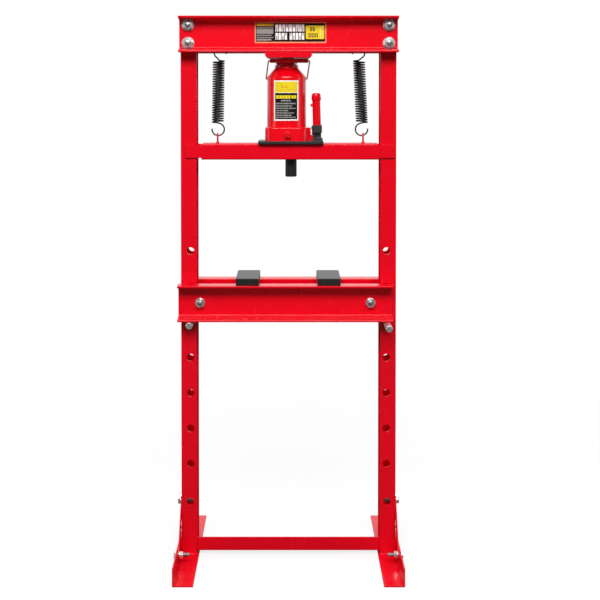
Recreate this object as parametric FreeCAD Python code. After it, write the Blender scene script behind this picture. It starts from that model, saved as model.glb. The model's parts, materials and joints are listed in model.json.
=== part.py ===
# Hydraulic shop press, H-frame, bottle-jack type, 20 tonne class.
# Frame: origin on the floor under the middle of the uprights, +X to the
# operator's right, +Y to the back, +Z up.  Millimetres.
import FreeCAD, Part
import math
import os

V = FreeCAD.Vector
X, Y, Z = V(1, 0, 0), V(0, 1, 0), V(0, 0, 1)
SIDES = (-1, 1)         # left and right along X, or front and rear along Y
os.makedirs("parts", exist_ok=True)

# ------------------------------------------------------------------ driving dimensions
# uprights: rolled channel, open side inwards
POST_OUT = 301.0        # outer face of each web from the centre plane
POST_HALF = 40.0        # half the channel depth, along Y
POST_FLANGE = 44.0      # flange width, along X
POST_WEB_T = 5.0
POST_FLANGE_T = 6.0
POST_Z0, POST_Z1 = 3.5, 1512.0
PIN_HOLE_X = 274.5
PIN_HOLE_R = 10.5
PIN_HOLE_TOP, PIN_HOLE_PITCH, PIN_HOLE_COUNT = 860.0, 100.0, 7
LOW_HOLE = (277.0, 152.6)   # X, Z of the odd lowest hole

# rolled channel used for the head and for the bed
CHANNEL_H = 100.0
CHANNEL_FLANGE = 48.0
CHANNEL_WEB_T = 5.3
CHANNEL_TIP_T = 6.4     # flange thickness at the tip
CHANNEL_ROOT_T = 10.2   # flange thickness at the web

HEAD_LEN = 608.0
HEAD_Z = 1415.0         # underside of the head channels
HEAD_BOLT_X = 279.5
HEAD_BOLT_Z = (1441.0, 1491.5)
HEAD_HOLE_R = 8.6

BED_X = -9.0            # the bed sits a little to the left in its clearance
BED_LEN = 598.0
BED_Z = 668.62          # underside of the bed channels
BED_GAP = 1.0           # running clearance between bed web and upright
BED_BOLT_DX = 238.0
BED_BOLT_Z = BED_Z + 48.0
BED_PIN_R, BED_PIN_LEN, BED_PIN_Z = 9.5, 230.0, 659.05
BLOCK_SIZE = (64.0, 164.0, 20.0)
BLOCK_X = (("left", -114.0), ("right", 112.5))

# feet, crossbar, braces
FOOT_LEG, FOOT_WIDTH, FOOT_T = 50.0, 55.5, 3.5      # upright leg, flat leg, thickness
FOOT_Y0, FOOT_Y1 = -267.0, 279.0                    # the feet reach further to the back
CROSS_LEG, CROSS_T = 38.0, 4.0
CROSS_Y, CROSS_Z = -34.0, 12.0
BRACE_T, BRACE_WIDTH = 3.0, 25.0    # the braces lie against the uprights, inside the feet's legs
BRACE_TOP = (16.0, 149.0)           # |Y|, Z of the upper bolt
BRACE_LOW = (115.0, 30.0)           # |Y|, Z of the lower bolt
BRACE_HOLE_R = 5.4
BRACE_OUT = POST_OUT + BRACE_T      # outer face of the braces
FOOT_OUT = BRACE_OUT + FOOT_T       # outer face of the feet

# press beam
BEAM_X = 4.0
BEAM_HALF = 247.0       # half length of the full section
TAB_HALF = 292.0        # half length over the tabs that run past the uprights
BEAM_Z0, BEAM_Z1 = 1116.0, 1160.0
BEAM_T = 5.0
BEAM_FLANGE = 28.0      # overall flange width
BEAM_Y = POST_HALF + 1.0            # inner face of the beam web
BEAM_IN_Z0, BEAM_IN_Z1 = BEAM_Z0 + BEAM_T, BEAM_Z1 - BEAM_T     # between the flanges
STRAP_T = 6.0
EYE_X = (-200.0, 210.3)
SEAT_Z1 = BEAM_Z1 + 8.0
RAM_X, RAM_R, RAM_Z0 = 7.0, 16.0, 1066.0

# jack
JACK_X = -5.5
JACK_Z0 = SEAT_Z1       # underside of the base
BASE_Z1 = JACK_Z0 + 38.0
CYLINDER_R, CYLINDER_Z0 = 28.0, JACK_Z0 + 22.0
RESERVOIR_R = 54.4
SHOULDER_Z = 1343.0     # start of the shoulder
NECK_Z1 = 1380.0        # top of the neck, under the gland nut
PISTON_R = 19.0
PISTON_Z0, PISTON_Z1 = 1203.0, 1388.0
SCREW_R = 11.0          # extension screw
FIT = 0.06              # radial running clearance
PUMP_X, FULCRUM_X, PUMP_Z = 71.0, 85.5, 1195.0
BLOCK_JOIN_X = 67.5     # where the pump block meets the base
PLUNGER_R, PLUNGER_PIN_R, FULCRUM_PIN_R = 5.0, 3.0, 4.0
SOCKET_X, SOCKET_Z = 80.0, 1211.0   # foot of the handle socket, on the clevis
SOCKET_LEAN = 1.5       # degrees
VALVE_X, VALVE_Z, VALVE_R = -2.0, 1184.5, 5.0
FILLER_Z, FILLER_R = 1300.0, 5.0
BAIL_Z, BAIL_WIRE_R = 1341.0, 2.0
BAIL_HALF = 57.6        # legs each side of the jack's axis at the ears
BAIL_SKEW = 7.0         # shift to the right at the grip
GRIP_Y, GRIP_Z = -36.0, 1391.6

# springs
COIL_R, COIL_TURNS = 15.4, 27       # mean radius
COIL_Z0, COIL_Z1 = 1213.4, 1394.5
SPRING_WIRE_R = 2.1
RING_R = 17.3           # centre line of the end rings
RING_Z0, RING_Z1 = 1199.2, 1415.5   # centres of the lower and upper rings
ANCHOR_X = (-192.3, 197.6)
ANCHOR_R = 5.0


# ------------------------------------------------------------------ helpers
def box(x0, x1, y0, y1, z0, z1):
    return Part.makeBox(x1 - x0, y1 - y0, z1 - z0, V(x0, y0, z0))


def cylinder(radius, length, start, direction=Z):
    return Part.makeCylinder(radius, length, V(*start), direction)


def polygon_face(points):
    return Part.Face(Part.makePolygon(points + [points[0]]))


def prism(axis, start, length, outline):
    """Outline of coordinate pairs square to the axis, extruded along it from start."""
    i = "xyz".index(axis)
    points = [V(*pair[:i], start, *pair[i:]) for pair in outline]
    return polygon_face(points).extrude((X, Y, Z)[i] * length)


def lathe(profile, x=0.0):
    """Profile of (radius, z) pairs turned about the vertical axis at x, y = 0."""
    solid = polygon_face([V(r, 0, z) for r, z in profile]).revolve(V(0, 0, 0), Z, 360)
    solid.translate(V(x, 0, 0))
    return solid


def one(shape):
    """Merge coplanar faces and unwrap a lone solid."""
    merged = shape.removeSplitter()
    return merged.Solids[0] if len(merged.Solids) == 1 else merged


def drill(shape, cutters):
    return shape.cut(Part.makeCompound(cutters))


def near(a, b):
    return abs(a - b) < 0.05


def grid(firsts, seconds):
    return [(a, b) for a in firsts for b in seconds]


def edges_along(shape, axis, corners=None):
    """Edges along the axis; corners limits them to given pairs of the other two coordinates."""
    others = [name for name in "xyz" if name != axis]

    def same(p, q):
        return near(p[0], q[0]) and near(p[1], q[1])

    picked = []
    for edge in shape.Edges:
        if len(edge.Vertexes) != 2:
            continue
        start, end = [[getattr(v.Point, n) for n in others] for v in edge.Vertexes]
        if same(start, end) and (corners is None or any(same(start, c) for c in corners)):
            picked.append(edge)
    return picked


def fillet(shape, radius, axis, corners=None):
    return shape.makeFillet(radius, edges_along(shape, axis, corners))


def chamfer(shape, size, axis, corners=None):
    return shape.makeChamfer(size, edges_along(shape, axis, corners))


def fillet_level(shape, radius, z):
    """Round every edge that lies flat at height z."""
    edges = [e for e in shape.Edges if near(e.BoundBox.ZMin, z) and near(e.BoundBox.ZMax, z)]
    return shape.makeFillet(radius, edges)


def mirror_x(shape):
    return shape.mirror(V(0, 0, 0), X)


def mirror_y(shape):
    return shape.mirror(V(0, 0, 0), Y)


def save(name, *shapes):
    solids = [solid for shape in shapes for solid in shape.Solids]
    assert solids and all(s.isValid() and s.Volume > 0 for s in solids), name
    out = solids[0] if len(solids) == 1 else Part.makeCompound(solids)
    out.exportStep("parts/%s.step" % name)


# ------------------------------------------------------------------ fasteners
def hex_head(flats, height, start, direction, turn=0.0, both=False):
    """Hexagon, turned about its axis, with 30 degree cones on its far (or both) corners."""
    corner = flats / math.sqrt(3)
    angles = [math.radians(60 * i + turn) for i in range(6)]
    hexagon = prism("z", 0, height, [(corner * math.cos(a), corner * math.sin(a)) for a in angles])
    flat = flats / 2 * 0.97
    drop = (corner - flat) * math.tan(math.radians(30))
    clear = corner + 2
    if both:
        profile = [(0, 0), (flat, 0), (corner, drop), (clear, drop)]
    else:
        profile = [(0, 0), (clear, 0)]
    profile += [(clear, height - drop), (corner, height - drop), (flat, height), (0, height)]
    cone = lathe(profile)
    for shape in (hexagon, cone):
        shape.Placement = FreeCAD.Placement(V(*start), FreeCAD.Rotation(Z, direction))
    return hexagon.common(cone)


def bolt(radius, length, flats, head_h, seat, direction, turn=0.0):
    """seat is the middle of the face under the head; direction points along the shank."""
    tip = 1.2
    head = hex_head(flats, head_h, seat, direction * -1, turn)
    shank = cylinder(radius, length - tip, seat, direction)
    end = V(*seat) + direction * (length - tip)
    return one(head.fuse([shank, Part.makeCone(radius, radius - tip, tip, end, direction)]))


def nut(radius, flats, height, start, direction, turn=0.0):
    body = hex_head(flats, height, start, direction, turn, both=True)
    return body.cut(Part.makeCylinder(radius, height + 2, V(*start) - direction, direction))


def washer(hole_r, radius, thickness, start, direction):
    hole = Part.makeCylinder(hole_r, thickness + 2, V(*start) - direction, direction)
    return cylinder(radius, thickness, start, direction).cut(hole)


# ------------------------------------------------------------------ uprights
def post():
    """Right upright: web outside, flanges inwards."""
    web_in = POST_OUT - POST_WEB_T
    tip = POST_OUT - POST_FLANGE
    half = POST_HALF
    half_in = half - POST_FLANGE_T
    outline = [(POST_OUT, -half), (POST_OUT, half), (tip, half), (tip, half_in),
               (web_in, half_in), (web_in, -half_in), (tip, -half_in), (tip, -half)]
    body = prism("z", POST_Z0, POST_Z1 - POST_Z0, outline)
    body = fillet(body, 5.0, "z", grid((web_in,), (-half_in, half_in)))
    body = fillet(body, 2.0, "z", grid((POST_OUT,), (-half, half)))
    body = fillet(body, 1.4, "z", grid((tip,), (-half, -half_in, half_in, half)))

    holes = [(PIN_HOLE_R, PIN_HOLE_X, PIN_HOLE_TOP - PIN_HOLE_PITCH * i)
             for i in range(PIN_HOLE_COUNT)]
    holes.append((PIN_HOLE_R, *LOW_HOLE))
    holes += [(HEAD_HOLE_R, HEAD_BOLT_X, z) for z in HEAD_BOLT_Z]
    cutters = [cylinder(r, 2 * half + 4, (x, -half - 2, z), Y) for r, x, z in holes]
    for side in SIDES:
        start = (POST_OUT - 9, side * BRACE_TOP[0], BRACE_TOP[1])
        cutters.append(cylinder(BRACE_HOLE_R, 12, start, X))
    return drill(body, cutters)


save("left_post", mirror_x(post()))
save("right_post", post())


# ------------------------------------------------------------------ head
def rolled_channel(length, x_mid, y_web, z0, out):
    """Channel along X with tapered flanges; y_web is the flat back of the web and
    out, -1 or +1, the way the flanges point along Y."""
    h, web, root, tip = CHANNEL_H, CHANNEL_WEB_T, CHANNEL_ROOT_T, CHANNEL_TIP_T
    edge = CHANNEL_FLANGE

    def place(pairs):
        return [(y_web + out * u, z0 + v) for u, v in pairs]

    outline = [(0, 0), (edge, 0), (edge, tip), (web, root),
               (web, h - root), (edge, h - tip), (edge, h), (0, h)]
    body = prism("x", x_mid - length / 2, length, place(outline))
    # the outline turns the other way for out = -1, which may leave the solid inside out
    if body.Volume < 0:
        body.reverse()
    body = fillet(body, 4.5, "x", place(grid((web,), (root, h - root))))
    body = fillet(body, 4.0, "x", place(grid((edge,), (tip, h - tip))))
    return fillet(body, 1.0, "x", place(grid((0, edge), (0, h))))


def head_channel(out):
    """Bolt holes have a spot face that clears the washer in the root of the flange."""
    body = rolled_channel(HEAD_LEN, 0, out * POST_HALF, HEAD_Z, out)
    for x, z in grid((-HEAD_BOLT_X, HEAD_BOLT_X), HEAD_BOLT_Z):
        body = body.cut(cylinder(HEAD_HOLE_R, 16, (x, out * (POST_HALF + 2) - 8, z), Y))
        spot = (x, out * (POST_HALF + CHANNEL_WEB_T), z)
        body = body.cut(cylinder(17.4, 14, spot, V(0, out, 0)))
    return body


def head_fasteners():
    """Bolt heads at the back, nuts with the thread ends standing proud at the front."""
    forward = V(0, -1, 0)
    radius, flats, washer_t = 8.0, 24.0, 3.0
    past_washer = 17.5      # shank beyond the front washer
    web = POST_HALF + CHANNEL_WEB_T
    seat = web + washer_t
    # X, Z, turn of the bolt head, turn of the nut
    places = [(-HEAD_BOLT_X, HEAD_BOLT_Z[0], 0, 8), (-HEAD_BOLT_X, HEAD_BOLT_Z[1], 12, 22),
              (HEAD_BOLT_X, HEAD_BOLT_Z[0], 0, 17), (HEAD_BOLT_X, HEAD_BOLT_Z[1], 12, 4)]
    bolts, washers, nuts = [], [], []
    for x, z, head_turn, nut_turn in places:
        length = 2 * seat + past_washer
        bolts.append(bolt(radius, length, flats, 10.0, (x, seat, z), forward, head_turn))
        washers += [washer(8.5, 17.0, washer_t, (x, y, z), Y) for y in (-seat, web)]
        nuts.append(nut(radius, flats, 13.0, (x, -seat, z), forward, nut_turn))
    save("head_bolts", *bolts)
    save("head_washers", *washers)
    save("head_nuts", *nuts)


def thrust_plate():
    """Plate under the head channels that the jack pushes against."""
    half_x, z0 = 64.5, HEAD_Z - 15
    half_y = POST_HALF + CHANNEL_FLANGE
    plate = box(-half_x, half_x, -half_y, half_y, z0, HEAD_Z)
    return chamfer(plate, 5.0, "y", grid((-half_x, half_x), (z0,)))


save("head_channel_front", head_channel(-1))
save("head_channel_rear", head_channel(1))
head_fasteners()
save("thrust_plate", thrust_plate())


# ------------------------------------------------------------------ feet and crossbar
def foot():
    """Right foot: angle bar, upright leg outside, flat leg pointing inwards."""
    out, t = FOOT_OUT, FOOT_T
    inner = out - FOOT_WIDTH
    outline = [(out, 0), (out, FOOT_LEG), (out - t, FOOT_LEG), (out - t, t),
               (inner, t), (inner, 0)]
    body = prism("y", FOOT_Y0, FOOT_Y1 - FOOT_Y0, outline)
    body = fillet(body, 1.6, "y", [(out - t, FOOT_LEG), (inner, t)])
    body = fillet(body, 0.8, "y", [(out, 0), (out, FOOT_LEG)])
    y, z = BRACE_LOW
    return drill(body, [cylinder(BRACE_HOLE_R, 12, (out - 9, s * y, z), X) for s in SIDES])


def lower_crossbar():
    """Angle bar: upright leg in front, flat leg at the bottom pointing back."""
    half = POST_OUT - POST_WEB_T - 5.1      # stops at the root radius of the uprights
    y0, z0, t = CROSS_Y, CROSS_Z, CROSS_T
    y1, z1 = y0 + CROSS_LEG, z0 + CROSS_LEG
    outline = [(y0, z0), (y1, z0), (y1, z0 + t), (y0 + t, z0 + t), (y0 + t, z1), (y0, z1)]
    body = prism("x", -half, 2 * half, outline)
    body = fillet(body, 2.0, "x", [(y0 + t, z1), (y1, z0 + t)])
    return fillet(body, 0.9, "x", [(y0, z0), (y0, z1)])


save("left_foot", mirror_x(foot()))
save("right_foot", foot())
save("lower_crossbar", lower_crossbar())


# ------------------------------------------------------------------ braces
def brace():
    """Right rear brace: flat bar with round ends, laid from the upper to the lower bolt."""
    dy, dz = BRACE_LOW[0] - BRACE_TOP[0], BRACE_LOW[1] - BRACE_TOP[1]
    length = math.hypot(dy, dz)
    half = BRACE_WIDTH / 2
    bar = box(0, BRACE_T, 0, length, -half, half)
    bar = one(bar.fuse([cylinder(half, BRACE_T, (0, y, 0), X) for y in (0, length)]))
    bar = drill(bar, [cylinder(BRACE_HOLE_R, BRACE_T + 2, (-1, y, 0), X) for y in (0, length)])
    lean = FreeCAD.Rotation(X, math.degrees(math.atan2(dz, dy)))
    bar.Placement = FreeCAD.Placement(V(POST_OUT, *BRACE_TOP), lean)
    return bar


def brace_fasteners():
    """Bolts run inwards, two on each side at the top and two at the bottom."""
    radius, flats, head_h, washer_t, nut_h = 5.0, 17.0, 6.4, 2.0, 8.0
    bolts, nuts, washers = [], [], []
    # per bolt: |Y| and Z, face under the washer, length, face under the nut,
    # turns of the bolt head front and rear, turns of the nut front and rear
    rows = ((BRACE_TOP, BRACE_OUT, 38.0, POST_OUT - POST_WEB_T, (10, 25), (0, 15)),
            (BRACE_LOW, FOOT_OUT, 36.0, POST_OUT - washer_t, (20, 5), (12, 3)))
    for side in SIDES:
        inward, outward = V(-side, 0, 0), V(side, 0, 0)
        for i, sy in enumerate(SIDES):
            for (y, z), face, length, nut_face, head_turns, nut_turns in rows:
                seat = (side * (face + washer_t), sy * y, z)
                nut_seat = (side * nut_face, sy * y, z)
                bolts.append(bolt(radius, length, flats, head_h, seat, inward, head_turns[i]))
                nuts.append(nut(radius, flats, nut_h, nut_seat, inward, nut_turns[i]))
                washers.append(washer(5.3, 10.5, washer_t, (side * face, sy * y, z), outward))
            # the lower bolts have a second washer, under the nut
            washers.append(washer(5.3, 10.5, washer_t, nut_seat, outward))
    save("brace_bolts", *bolts)
    save("brace_nuts", *nuts)
    save("brace_washers", *washers)


save("left_front_brace", mirror_x(mirror_y(brace())))
save("left_rear_brace", mirror_x(brace()))
save("right_front_brace", mirror_y(brace()))
save("right_rear_brace", brace())
brace_fasteners()


# ------------------------------------------------------------------ press beam
def beam():
    """Rear channel: web outside, flanges turned inwards, bare web tabs at the ends."""
    web_in, web_out = BEAM_Y, BEAM_Y + BEAM_T
    tip = web_out - BEAM_FLANGE
    outline = [(web_out, BEAM_Z0), (web_out, BEAM_Z1), (tip, BEAM_Z1), (tip, BEAM_IN_Z1),
               (web_in, BEAM_IN_Z1), (web_in, BEAM_IN_Z0), (tip, BEAM_IN_Z0), (tip, BEAM_Z0)]
    body = prism("x", BEAM_X - BEAM_HALF, 2 * BEAM_HALF, outline)
    body = fillet(body, 4.0, "x", grid((web_out,), (BEAM_Z0, BEAM_Z1)))
    body = fillet(body, 2.0, "x", grid((web_in,), (BEAM_IN_Z0, BEAM_IN_Z1)))
    tab = box(BEAM_X - TAB_HALF, BEAM_X + TAB_HALF, web_in, web_out, BEAM_IN_Z0, BEAM_Z1 - 3.0)
    return one(body.fuse(fillet(tab, 4.0, "y")))


def beam_end_plate(side):
    outer = BEAM_X + side * (BEAM_HALF - 3)
    x0, x1 = sorted((outer, outer - side * 6))
    return chamfer(box(x0, x1, -BEAM_Y, BEAM_Y, BEAM_IN_Z0, BEAM_IN_Z1), 2.2, "x")


def eye_bolt_strap(x):
    """Cross strap between the beam channels, under their top flanges."""
    strap = box(x - 14, x + 14, -BEAM_Y, BEAM_Y, BEAM_IN_Z1 - STRAP_T, BEAM_IN_Z1)
    strap = chamfer(strap, 2.2, "x", grid((-BEAM_Y, BEAM_Y), (BEAM_IN_Z1,)))
    return strap.cut(cylinder(4.2, 10, (x, 0, BEAM_IN_Z1 - STRAP_T - 2)))


def eye_bolt(x):
    ring_z, ring_r = 1180.0, 8.2
    collar_z, collar_h = 1161.0, 5.0
    rod_z0, rod_z1 = 1137.0, 1161.6
    shank_z = collar_z + collar_h
    ring = Part.makeTorus(ring_r, 2.0, V(x, 0, ring_z), X)
    return one(ring.fuse([
        cylinder(2.6, ring_z - ring_r - shank_z, (x, 0, shank_z)),
        Part.makeCone(5.5, 3.0, collar_h, V(x, 0, collar_z), Z),
        cylinder(4.0, rod_z1 - rod_z0, (x, 0, rod_z0)),
        cylinder(7.0, 2.5, (x, 0, BEAM_IN_Z1)),
        cylinder(5.5, collar_z - BEAM_IN_Z1, (x, 0, BEAM_IN_Z1)),
    ]))


def eye_bolt_nut(x):
    return nut(4.0, 14.0, 7.0, (x, 0, BEAM_IN_Z1 - STRAP_T), V(0, 0, -1), 10)


def jack_seat_plate():
    plate = box(-85.0, 97.5, -60.0, 60.0, BEAM_Z1, SEAT_Z1)
    return fillet_level(fillet(plate, 9.0, "z"), 1.2, SEAT_Z1)


def press_ram():
    ram = cylinder(RAM_R, BEAM_Z1 - RAM_Z0, (RAM_X, 0, RAM_Z0))
    return fillet_level(ram, 2.0, RAM_Z0)


save("press_beam_front", mirror_y(beam()))
save("press_beam_rear", beam())
save("beam_end_plates", *[beam_end_plate(side) for side in SIDES])
save("eye_bolt_straps", *[eye_bolt_strap(x) for x in EYE_X])
save("eye_bolts", *[eye_bolt(x) for x in EYE_X])
save("eye_bolt_nuts", *[eye_bolt_nut(x) for x in EYE_X])
save("jack_seat_plate", jack_seat_plate())
save("press_ram", press_ram())


# ------------------------------------------------------------------ jack body
def plunger_bore():
    return cylinder(PLUNGER_R + FIT, 40, (PUMP_X, 0, JACK_Z0 + 3))


def jack_base():
    """Rounded block, lower extension to the pump side, release valve boss in front."""
    block = box(JACK_X - 60, JACK_X + 60, -58, 58, JACK_Z0, BASE_Z1)
    block = fillet(block, 26.0, "z")
    x0 = JACK_X + 30
    extension = box(x0, BLOCK_JOIN_X, -19, 19, JACK_Z0, 1184.0)
    extension = extension.fuse(box(x0, 62.5, -19, 19, 1183.0, BASE_Z1 - 1.5))
    block = fillet_level(block, 3.0, BASE_Z1)
    boss = cylinder(9.5, 8, (VALVE_X, -62, VALVE_Z), Y)
    return drill(one(block.fuse([extension, boss])), [
        cylinder(CYLINDER_R, 30, (JACK_X, 0, CYLINDER_Z0)),
        cylinder(VALVE_R + FIT, 24, (VALVE_X, -63, VALVE_Z), Y),
        plunger_bore(),
    ])


def reservoir_profile():
    """(radius, z) outline of the shell: wall, rounded edge, conical shoulder, neck."""
    wall, steps = 3.0, 6
    cone = math.radians(42.0)           # slope of the shoulder off the vertical
    edge_r, hollow_r = 12.0, 6.0        # roundings below and above the cone
    neck_r, bore_r = 33.0, 29.0
    outer = [(RESERVOIR_R, BASE_Z1), (RESERVOIR_R, SHOULDER_Z)]
    for i in range(1, steps + 1):
        a = cone * i / steps
        outer.append((RESERVOIR_R - edge_r * (1 - math.cos(a)), SHOULDER_Z + edge_r * math.sin(a)))
    # the cone runs on to the hollow at the neck
    cone_r, cone_z = outer[-1]
    run = cone_r - (neck_r + hollow_r * (1 - math.cos(cone)))
    hollow_z = cone_z + run / math.tan(cone)
    outer.append((cone_r - run, hollow_z))
    for i in range(1, steps + 1):
        a = cone * (1 - i / steps)
        outer.append((neck_r + hollow_r * (1 - math.cos(a)),
                      hollow_z + hollow_r * (math.sin(cone) - math.sin(a))))
    neck_z0 = outer[-1][1]
    inner_r = RESERVOIR_R - wall
    return outer + [
        (neck_r, NECK_Z1), (bore_r, NECK_Z1), (bore_r, neck_z0 - 3.0),
        (neck_r - 1.0, neck_z0 - 5.0), (inner_r - 6.0, SHOULDER_Z + 2.5),
        (inner_r, SHOULDER_Z - 3.0), (inner_r, BASE_Z1),
    ]


def jack_reservoir():
    """Shell with an ear on each side for the bail and the filler hole in the back."""
    def at_ears(radius, length, inset):
        return [cylinder(radius, length, (JACK_X + side * (RESERVOIR_R - inset), 0, BAIL_Z),
                         V(side, 0, 0)) for side in SIDES]

    shell = lathe(reservoir_profile(), JACK_X).fuse(at_ears(6.0, 7.9, 7.6))
    filler = cylinder(FILLER_R, 8.0, (JACK_X, RESERVOIR_R - 5, FILLER_Z), Y)
    wire_holes = at_ears(BAIL_WIRE_R + FIT, 8.0, 5.6)
    return one(drill(shell, wire_holes + at_ears(2.8, 3.0, 0.6) + [filler]))


def jack_cylinder():
    """Pressure cylinder, from the base socket up to the gland."""
    length, floor = NECK_Z1 - CYLINDER_Z0, 10
    body = cylinder(CYLINDER_R, length, (JACK_X, 0, CYLINDER_Z0))
    return body.cut(cylinder(PISTON_R + FIT, length - floor, (JACK_X, 0, CYLINDER_Z0 + floor)))


def gland_nut():
    """Hexagon with a round skirt."""
    skirt_h = 2.0
    body = hex_head(54.0, 5.4, (JACK_X, 0, NECK_Z1 + skirt_h), Z, 12)
    body = one(body.fuse(cylinder(27.5, skirt_h, (JACK_X, 0, NECK_Z1))))
    return body.cut(cylinder(PISTON_R + FIT, 40, (JACK_X, 0, NECK_Z1 - 5)))


def piston():
    body = cylinder(PISTON_R, PISTON_Z1 - PISTON_Z0, (JACK_X, 0, PISTON_Z0))
    return body.cut(cylinder(SCREW_R, 122.0, (JACK_X, 0, 1266.0)))


def extension_screw():
    """Plain shank in the piston's nose, with a cap grooved round its rim."""
    z0, rim_r, grooves = 1270.0, 22.5, 18
    shank = cylinder(SCREW_R, PISTON_Z1 + 1 - z0, (JACK_X, 0, z0))
    cap = lathe([(0, PISTON_Z1), (19.0, PISTON_Z1), (rim_r, 1390.5), (rim_r, 1398.0),
                 (20.5, 1400.0), (0, 1400.0)], JACK_X)
    cutters = []
    for i in range(grooves):
        a = 2 * math.pi * i / grooves
        x, y = JACK_X + (rim_r + 0.5) * math.cos(a), (rim_r + 0.5) * math.sin(a)
        cutters.append(cylinder(1.3, 14, (x, y, PISTON_Z1 - 0.5)))
    return one(drill(shank.fuse(cap), cutters))


def release_valve():
    """Spindle with a larger head, cross-slotted at its front end."""
    x, z, width, reach = VALVE_X, VALVE_Z, 1.3, 6.5
    body = cylinder(VALVE_R, 20, (x, -60, z), Y)
    body = body.fuse([cylinder(6.4, 9.0, (x, -72, z), Y), cylinder(VALVE_R, 4.0, (x, -63.5, z), Y)])
    return one(drill(body, [box(x - dx, x + dx, -73, -68.5, z - dz, z + dz)
                            for dx, dz in ((reach, width), (width, reach))]))


def oil_filler_plug():
    """Plug in the back of the reservoir, its head cut to the shell's curve."""
    head = cylinder(7.5, 3.0, (JACK_X, RESERVOIR_R - 0.4, FILLER_Z), Y)
    head = head.cut(cylinder(RESERVOIR_R, 40, (JACK_X, 0, FILLER_Z - 20)))
    return one(cylinder(FILLER_R, 6.0, (JACK_X, RESERVOIR_R - 5, FILLER_Z), Y).fuse(head))


save("jack_base", jack_base())
save("jack_reservoir", jack_reservoir())
save("jack_cylinder", jack_cylinder())
save("jack_gland_nut", gland_nut())
save("jack_piston", piston())
save("extension_screw", extension_screw())
save("release_valve", release_valve())
save("oil_filler_plug", oil_filler_plug())


# ------------------------------------------------------------------ jack pump
def pump_block():
    """Low foot, pump barrel and fulcrum lug, to the right of the base."""
    foot_x1, half = 96.0, 15
    block = box(BLOCK_JOIN_X, foot_x1, -half, half, JACK_Z0, JACK_Z0 + 7)
    block = fillet(block, 4.0, "z", grid((foot_x1,), (-half, half)))
    barrel = cylinder(9.0, 1190 - JACK_Z0, (PUMP_X, 0, JACK_Z0))
    lug = box(79.0, 92.0, -8.5, 8.5, JACK_Z0, PUMP_Z)
    lug = lug.fuse(cylinder(6.5, 17, (FULCRUM_X, -8.5, PUMP_Z), Y))
    right_of_base = box(BLOCK_JOIN_X, 120, -40, 40, JACK_Z0 - 1, 1260)
    body = one(block.fuse([barrel.common(right_of_base), lug]))
    pin_hole = cylinder(FULCRUM_PIN_R, 30, (FULCRUM_X, -15, PUMP_Z), Y)
    return one(drill(body, [plunger_bore(), pin_hole]))


def fulcrum_pin():
    """Pin with a round head at each end."""
    shank = cylinder(FULCRUM_PIN_R, 31, (FULCRUM_X, -15.5, PUMP_Z), Y)
    return one(shank.fuse([cylinder(6.2, 2.4, (FULCRUM_X, y, PUMP_Z), Y) for y in (-17.6, 15.2)]))


def pump_plunger():
    z0 = JACK_Z0 + 5
    body = cylinder(PLUNGER_R, PUMP_Z + 4 - z0, (PUMP_X, 0, z0))
    return body.cut(cylinder(PLUNGER_PIN_R, 20, (PUMP_X, -10, PUMP_Z), Y))


def socket_clevis():
    """Two ears round the lug and the plunger, joined by a bridge above."""
    y_in, y_out = 9.2, 14.4
    ears = []
    for y0, y1 in ((-y_out, -y_in), (y_in, y_out)):
        ear = box(64.5, 94.0, y0, y1, 1190.0, 1207.0)
        ear = ear.fuse(cylinder(8.5, y_out - y_in, (FULCRUM_X, y0, PUMP_Z), Y))
        ears.append(ear.cut(box(60, 100, y0 - 1, y1 + 1, 1180, 1186.5)))
    bridge = box(66.5, 94.0, -y_out, y_out, 1205.0, SOCKET_Z)
    body = one(ears[0].fuse([ears[1], bridge]))
    # slot for the plunger pin, open towards the jack
    half = 4.3
    slot = box(60.0, PUMP_X, -20, 20, PUMP_Z - half, PUMP_Z + half)
    slot = slot.fuse(cylinder(half, 40, (PUMP_X, -20, PUMP_Z), Y))
    pin_hole = cylinder(FULCRUM_PIN_R + FIT, 40, (FULCRUM_X, -20, PUMP_Z), Y)
    return one(drill(body, [one(slot), pin_hole]))


def handle_socket():
    """Open tube with a rolled collar and a small side boss, leaning towards the jack."""
    z0, z1 = SOCKET_Z - 2, 1296.0
    tube = cylinder(11.4, z1 - z0, (SOCKET_X, 0, z0))
    lip_z, lip_r, lip_h, steps = 1289.0, 4.7, 12.5, 7
    profile = [(8.0, 1280.5), (11.6, 1280.5), (13.0, 1281.6), (13.3, 1283.0), (13.3, lip_z)]
    for i in range(1, steps + 1):
        a = math.radians(90.0 * i / steps)
        profile.append((8.6 + lip_r * math.cos(a), lip_z + lip_h * math.sin(a)))
    profile.append((8.0, lip_z + lip_h))
    boss = cylinder(4.2, 6.5, (SOCKET_X - 10.0, 0, 1268.0), V(-1, 0, 0))
    tube = tube.fuse([lathe(profile, SOCKET_X), boss])
    tube = tube.cut(cylinder(8.6, 90, (SOCKET_X, 0, 1230.0)))
    tube.rotate(V(SOCKET_X, 0, SOCKET_Z), Y, -SOCKET_LEAN)
    # trimmed flat on the clevis
    return one(tube.cut(box(50, 110, -30, 30, 1190.0, SOCKET_Z)))


save("pump_block", pump_block())
save("fulcrum_pin", fulcrum_pin())
save("pump_plunger", pump_plunger())
save("plunger_pin", cylinder(PLUNGER_PIN_R, 27.0, (PUMP_X, -13.5, PUMP_Z), Y))
save("socket_clevis", socket_clevis())
save("handle_socket", handle_socket())


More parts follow.
